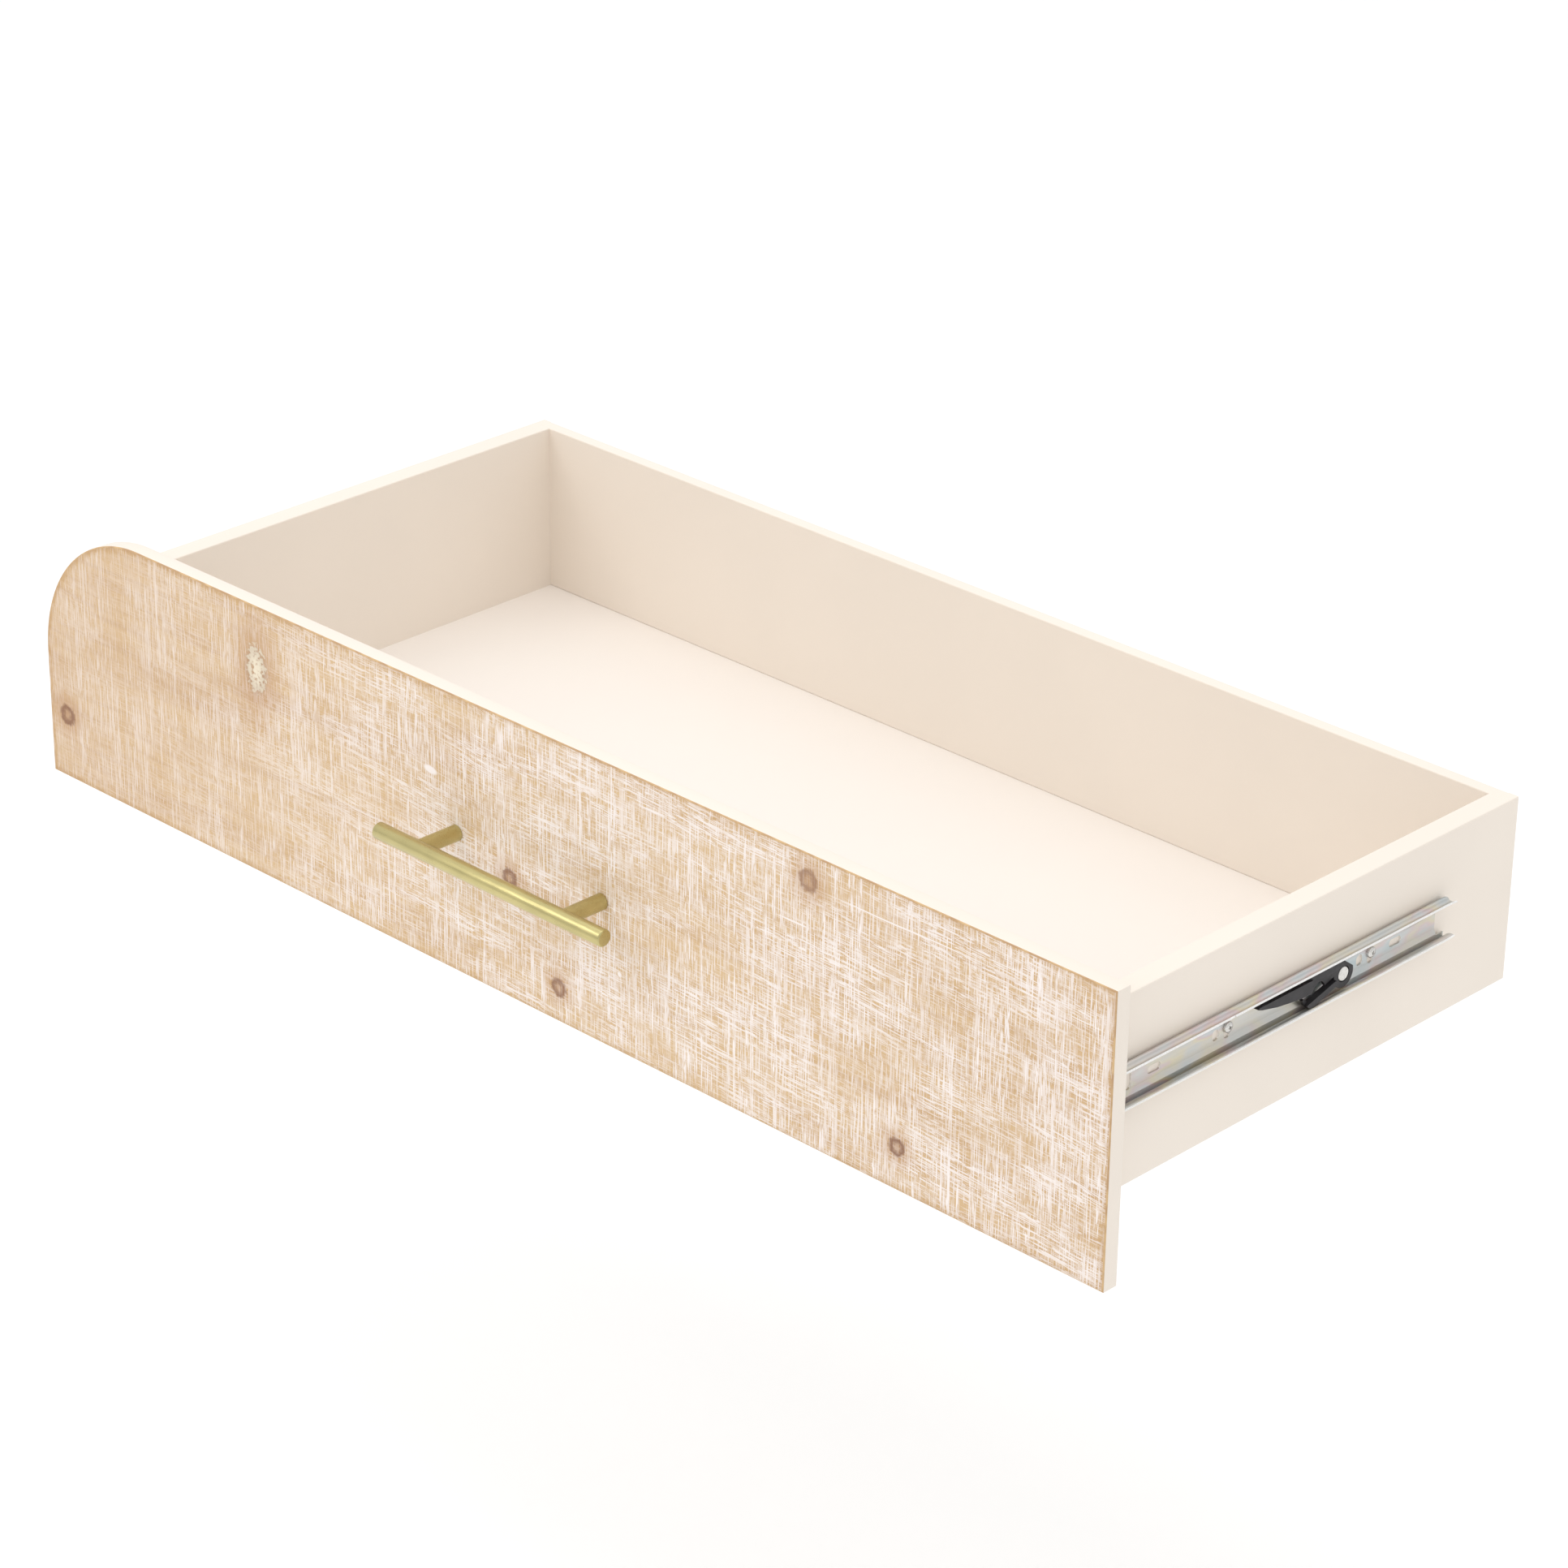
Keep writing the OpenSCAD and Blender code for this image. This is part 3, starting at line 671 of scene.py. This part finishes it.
class DRAWER_OT_front(bpy.types.Operator):
    """Add the whitewashed front with its round corner, rubbed rim and worn border"""

    bl_idname = "drawer.front"
    bl_label = "Front board"

    def execute(self, context):
        sizes = context.scene.drawer_front
        shape = bmesh.new()
        bmesh.ops.create_cube(shape, size=1.0)
        bmesh.ops.scale(shape, vec=panel_high - panel_low, verts=shape.verts)
        bmesh.ops.translate(shape, vec=(panel_high + panel_low) / 2, verts=shape.verts)
        tiny = 0.01 * MM
        corner = [
            edge for edge in shape.edges
            if all(v.co.x < panel_low.x + tiny and v.co.z > panel_high.z - tiny for v in edge.verts)]
        bmesh.ops.bevel(
            shape, geom=corner, offset=sizes.corner_radius, offset_type="OFFSET",
            segments=sizes.corner_steps, profile=0.5, affect="EDGES", material=-1)

        def outline(y):
            return [e for e in shape.edges if all(abs(v.co.y - y) < tiny for v in e.verts)]

        bmesh.ops.bevel(
            shape, geom=outline(panel_low.y) + outline(panel_high.y), offset=sizes.rim,
            offset_type="OFFSET", segments=3, profile=0.5, affect="EDGES", material=-1)
        wear = shape.verts.layers.float.new("edge_wear")
        face = min(shape.faces, key=lambda f: (round(f.calc_center_median().y, 6), -f.calc_area()))
        for vert in face.verts:
            vert[wear] = 1.0
        bmesh.ops.inset_region(shape, faces=[face], thickness=sizes.worn_band, use_even_offset=True)
        for vert in face.verts:
            vert[wear] = 0.0
        for part in shape.faces:
            middle = part.calc_center_median()
            if all(v.co.y < panel_low.y + tiny for v in part.verts):
                part.material_index = 0
            elif middle.y < panel_low.y + sizes.rim:
                part.material_index = 1
            else:
                part.material_index = 2
        looks = finishes()
        finish_piece("front_board", shape, (looks["pine"], looks["edge"], looks["paint"]),
                     ["front_panel"], sharp=40.0)
        return {"FINISHED"}


class DRAWER_OT_box(bpy.types.Operator):
    """Paint the box boards and lay the foil on the bottom"""

    bl_idname = "drawer.box"
    bl_label = "Box boards"

    def execute(self, context):
        looks = finishes()
        for node in ("inner_front", "left_side", "right_side", "back_panel"):
            dress(node, looks["paint"])
        dress("bottom_panel", looks["foil"])
        dress("corner_dowels", looks["beech"])
        for node in ("back_panel_brads", "bottom_panel_brads"):
            dress(node, looks["screw"])
        return {"FINISHED"}


class DRAWER_OT_handle(bpy.types.Operator):
    """Add the turned brass bar and its two posts"""

    bl_idname = "drawer.handle"
    bl_label = "Bar handle"

    def execute(self, context):
        sizes = context.scene.drawer_handle
        brass = [finishes()["brass"]]
        radius, chamfer, edge = bar_radius, sizes.end_chamfer, sizes.turned_edge
        reach_x = bar_high.x - bar_low.x
        half = [(0.0, 0.0), (radius - chamfer - edge, 0.0), (radius - chamfer, edge * 0.4),
                (radius - edge * 0.4, chamfer), (radius, chamfer + edge)]
        profile = half + [(r, reach_x - h) for r, h in reversed(half)]
        along_x = Matrix.Rotation(math.radians(90), 4, "Y")
        place = Matrix.Translation((bar_low.x, bar_middle.y, bar_middle.z)) @ along_x
        finish_piece("bar", turned(profile, 72, place), brass, ["handle_bar"])
        along_y = Matrix.Rotation(math.radians(-90), 4, "X")
        for side in SIDES:
            low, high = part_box(f"handle_post_{side}")
            post_radius = (high.x - low.x) / 2
            post_length = high.y - bar_middle.y
            foot = sizes.post_foot
            profile = [(0.0, 0.0), (post_radius, 0.0), (post_radius, post_length - foot),
                       (post_radius - foot, post_length), (0.0, post_length)]
            place = Matrix.Translation(((low.x + high.x) / 2, bar_middle.y, bar_middle.z)) @ along_y
            finish_piece(f"post_{side}", turned(profile, 64, place), brass,
                         [f"handle_post_{side}"])
        return {"FINISHED"}


# Screws: the CAD node, the way the heads face, and the head height and shank radius in millimetres
SCREWS = [
    ("slide_screws_right", (1, 0, 0), 2.4, 1.75), ("slide_screws_left", (-1, 0, 0), 2.4, 1.75),
    ("handle_screws", (0, 1, 0), 2.4, 2.0), ("front_panel_screws", (0, 1, 0), 2.6, 2.0)]
# How far the first screw of a set is turned, and each next one from it, in degrees
FIRST_TURN, NEXT_TURN = 20, 47


def cross_recess(width, depth, top):
    """The cutter of a Phillips recess: two tapered blades that meet at a point."""
    blade_thickness = width * 0.24
    foot_taper = (0.35, 0.6, 1.0)
    blades = []
    for turn in (0.0, math.radians(90)):
        blade = bmesh.new()
        bmesh.ops.create_cube(blade, size=1.0)
        bmesh.ops.scale(blade, vec=(width, blade_thickness, depth * 2), verts=blade.verts)
        foot = [v for v in blade.verts if v.co.z < 0]
        bmesh.ops.scale(blade, vec=foot_taper, verts=foot)
        bmesh.ops.rotate(blade, cent=(0, 0, 0), matrix=Matrix.Rotation(turn, 3, "Z"), verts=blade.verts)
        bmesh.ops.translate(blade, vec=(0, 0, top), verts=blade.verts)
        blades.append(blade)
    return blades


def threaded_screw(sizes, head_radius, head_height, shank_radius, shank_length):
    """A domed cross-head screw along +Z, with its head standing on z = 0 and a point below."""
    pitch, depth = sizes.thread_pitch, sizes.thread_depth
    point = shank_radius * 1.6
    turns = int((shank_length - point) / pitch)
    profile = [(0.0, -shank_length)]
    for turn in range(turns):
        start = -shank_length + point + turn * pitch
        profile += [(shank_radius - depth, start), (shank_radius - depth, start + pitch * 0.45),
                    (shank_radius, start + pitch * 0.7), (shank_radius, start + pitch * 0.8)]
    profile += [(shank_radius - depth, 0.0), (head_radius * 0.97, 0.0), (head_radius, head_height * 0.12)]
    dome_steps = 9
    shoulder = head_height * 0.4
    for step in range(dome_steps + 1):
        angle = math.radians(90) * step / dome_steps
        profile.append((head_radius * math.cos(angle),
                        shoulder + (head_height - shoulder) * math.sin(angle)))
    profile[-1] = (0.0, head_height)
    screw = turned(profile, 48)
    width = head_radius * 2 * sizes.recess_share
    for blade in cross_recess(width, head_height * 0.62, head_height):
        screw = cut_away(screw, blade)
    return screw


class DRAWER_OT_screws(bpy.types.Operator):
    """Add the cross-head screws of the slides, the handle and the front"""

    bl_idname = "drawer.screws"
    bl_label = "Screws"

    def execute(self, context):
        sizes = context.scene.drawer_screw
        for node, way, head_height, shank_radius in SCREWS:
            out = Vector(way)
            head_height *= MM
            shank_radius *= MM
            shapes = []
            for index, (low, high) in enumerate(parts_of(node)):
                half = (high - low) / 2
                half_length = abs(half.dot(out))
                top = (low + high) / 2 + out * half_length
                screw = threaded_screw(
                    sizes, half.z, head_height, shank_radius, half_length * 2 - head_height)
                turn = Matrix.Rotation(math.radians(FIRST_TURN + NEXT_TURN * index), 4, "Z")
                place = (Matrix.Translation(top - out * head_height)
                         @ out.to_track_quat("Z", "Y").to_matrix().to_4x4() @ turn)
                bmesh.ops.transform(screw, matrix=place, verts=screw.verts)
                shapes.append(screw)
            finish_piece(node.replace("screws", "cross_head_screws"), put_together(shapes),
                         [finishes()["screw"]], [node], sharp=35.0)
        return {"FINISHED"}


# The stop notch's cutter, centred on the flange's free edge: its size across and up, and how far
# it is from the member's middle
CUTTER_ACROSS, CUTTER_UP, CUTTER_RISE = 2.6 * MM, 4 * MM, 12 * MM
# How far from the member's middle a flange starts, and how deep its free edge reaches
FLANGE_RISE, LIP_DEPTH = 9.3 * MM, 1.4 * MM
# Rows of vertices along a tip, so that it can bend
TIP_STEPS = 4


class DRAWER_OT_slides(bpy.types.Operator):
    """Add the slide members with closed-in tips, a stop notch, and sheared edges and lips in a painted
    highlight
    """

    bl_idname = "drawer.slides"
    bl_label = "Slide members"

    def execute(self, context):
        sizes = context.scene.drawer_slide
        for side in SIDES:
            node = f"slide_member_{side}"
            low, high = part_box(node)
            middle_z = (low.z + high.z) / 2
            shape = merged_copy(node)
            # A small notch in the free edge of one flange stops the intermediate member
            upper = 1 if side == "right" else -1
            outer_x = high.x if side == "right" else low.x
            notch = bmesh.new()
            bmesh.ops.create_cube(notch, size=1.0)
            bmesh.ops.scale(notch, vec=(CUTTER_ACROSS, sizes.notch_length, CUTTER_UP), verts=notch.verts)
            bmesh.ops.translate(notch, verts=notch.verts, vec=(
                outer_x, low.y + sizes.notch_place, middle_z + upper * CUTTER_RISE))
            shape = cut_away(shape, notch)
            bend_start = high.y - sizes.tip_length
            for step in range(TIP_STEPS):
                row = bend_start + sizes.tip_length * step / TIP_STEPS
                bmesh.ops.bisect_plane(
                    shape, geom=shape.verts[:] + shape.edges[:] + shape.faces[:],
                    plane_co=(0, row, 0), plane_no=(0, 1, 0), dist=0.001 * MM)
            for vert in shape.verts:
                past = (vert.co.y - bend_start) / sizes.tip_length
                flange = abs(vert.co.z - middle_z) > FLANGE_RISE
                if past > 0 and flange:
                    drop = math.tan(sizes.tip_bend) * sizes.tip_length * past * past / 2
                    vert.co.z -= math.copysign(drop, vert.co.z - middle_z)
            # The faces at the outer free edge and the cut ends take the near-white finish. This is paler
            # sheared steel, with a painted highlight along the lip.
            outward = math.copysign(1.0, outer_x)
            for face in shape.faces:
                middle = face.calc_center_median()
                near_edge = (middle.x - outer_x) * outward > -LIP_DEPTH
                lip = near_edge and face.normal.x * outward > 0.6
                cut_end = abs(face.normal.y) > 0.7
                face.material_index = int(lip or cut_end)
            looks = finishes()
            piece = finish_piece(f"drawer_member_{side}", shape, (looks["zinc"], looks["sheared"]),
                                 [node], sharp=28.0)
            round_edges(piece, sizes.sheet_edge, 1, 50.0)
        return {"FINISHED"}


class DRAWER_OT_levers(bpy.types.Operator):
    """Add the moulded release levers and their springy arms, and finish their rivets"""

    bl_idname = "drawer.levers"
    bl_label = "Release levers"

    def execute(self, context):
        sizes = context.scene.drawer_lever
        nylon = [finishes()["nylon"]]
        for side in SIDES:
            body = f"release_lever_{side}"
            lever = finish_piece(f"lever_{side}", merged_copy(body), nylon, [body], body)
            round_edges(lever, sizes.moulded_edge)

            node = f"lever_spring_{side}"
            arm = finish_piece(f"spring_arm_{side}", merged_copy(node), nylon, [node], None)
            round_edges(arm, sizes.moulded_edge)
            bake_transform(arm)

            dress(f"lever_rivet_{side}", finishes()["screw"])
        return {"FINISHED"}


# --- studio --------------------------------------------------------------------

# Where the camera stands and how it is turned
camera_place = Vector((1.9058, -1.9154, 1.3968))
camera_azimuth = math.radians(44.06)
camera_elevation = math.radians(25.75)
camera_roll = math.radians(0.78)
camera_lens = 110.23
camera_sensor = 36.0
# The floor lies well below the drawer, which is shown free of it
floor_level = panel_low.z - 450 * MM
# The sky is brighter overhead than at the horizon
HORIZON_LIGHT, OVERHEAD_LIGHT = 0.78, 1.08
# Soft boxes: name, place in metres, width, watts
SOFT_BOXES = [
    ("overhead", (0.1, -0.1, 2.6), 1.1, 11.0),
    ("front_left", (-1.4, -2.3, 2.2), 1.6, 15.0),
    ("right", (2.8, -0.2, 0.9), 1.8, 0.3)]


class DRAWER_OT_stage(bpy.types.Operator):
    """Add the floor, the soft light and the camera"""

    bl_idname = "drawer.stage"
    bl_label = "Studio"

    def execute(self, context):
        scene = context.scene
        shape = bmesh.new()
        bmesh.ops.create_grid(shape, x_segments=8, y_segments=8, size=9.0)
        bmesh.ops.translate(shape, vec=(0, 0, floor_level), verts=shape.verts)
        mesh = bpy.data.meshes.new("studio_floor")
        shape.to_mesh(mesh)
        shape.free()
        mesh.materials.append(finishes()["floor"])
        floor = bpy.data.objects.new("studio_floor", mesh)
        scene.collection.objects.link(floor)

        world = bpy.data.worlds.new("studio")
        world.use_nodes = True
        tree = world.node_tree
        up = add(tree, "ShaderNodeSeparateXYZ", [add(tree, "ShaderNodeTexCoord", output="Generated")], "Z")
        background = tree.nodes["Background"]
        background.inputs["Color"].default_value = (1.0, 1.0, 1.0, 1.0)
        glow = add(tree, RANGE, (up, 0.0, 1.0, HORIZON_LIGHT, OVERHEAD_LIGHT), **EASED)
        tree.links.new(glow, background.inputs["Strength"])
        scene.world = world
        target = Vector((0.0, 0.0, 0.1))
        for name, place, width, watts in SOFT_BOXES:
            light = bpy.data.lights.new(name, "AREA")
            light.shape = "SQUARE"
            light.size = width
            light.energy = watts
            lamp = bpy.data.objects.new(name, light)
            lamp.location = place
            lamp.rotation_euler = (target - Vector(place)).to_track_quat("-Z", "Y").to_euler()
            scene.collection.objects.link(lamp)

        camera_data = bpy.data.cameras.new("camera")
        camera_data.lens = camera_lens
        camera_data.sensor_width = camera_sensor
        camera = bpy.data.objects.new("camera", camera_data)
        turn = (Matrix.Rotation(camera_azimuth, 4, "Z")
                @ Matrix.Rotation(math.radians(90) - camera_elevation, 4, "X")
                @ Matrix.Rotation(camera_roll, 4, "Z"))
        camera.matrix_world = Matrix.Translation(camera_place) @ turn
        scene.collection.objects.link(camera)
        scene.camera = camera
        scene.view_settings.view_transform = "Standard"
        return {"FINISHED"}


OPERATORS = (
    DRAWER_OT_front, DRAWER_OT_box, DRAWER_OT_handle, DRAWER_OT_screws, DRAWER_OT_slides,
    DRAWER_OT_levers, DRAWER_OT_stage)


class DRAWER_PT_pieces(bpy.types.Panel):
    """Builds the drawer piece by piece"""

    bl_idname = "DRAWER_PT_pieces"
    bl_label = "Cabinet Drawer"
    bl_space_type = "VIEW_3D"
    bl_region_type = "UI"
    bl_category = "Drawer"

    def draw(self, context):
        for operator in OPERATORS:
            self.layout.operator(operator.bl_idname)
        for name, group in GROUPS.items():
            sizes = getattr(context.scene, name)
            for key in group.__annotations__:
                self.layout.prop(sizes, key)


CLASSES = (*GROUPS.values(), *OPERATORS, DRAWER_PT_pieces)


def register():
    for cls in CLASSES:
        bpy.utils.register_class(cls)
    for name, group in GROUPS.items():
        setattr(bpy.types.Scene, name, PointerProperty(type=group))


def unregister():
    for name in GROUPS:
        delattr(bpy.types.Scene, name)
    for cls in reversed(CLASSES):
        bpy.utils.unregister_class(cls)


def main():
    register()
    for operator in OPERATORS:
        family, name = operator.bl_idname.split(".")
        getattr(getattr(bpy.ops, family), name)()


if __name__ == "__main__":
    main()
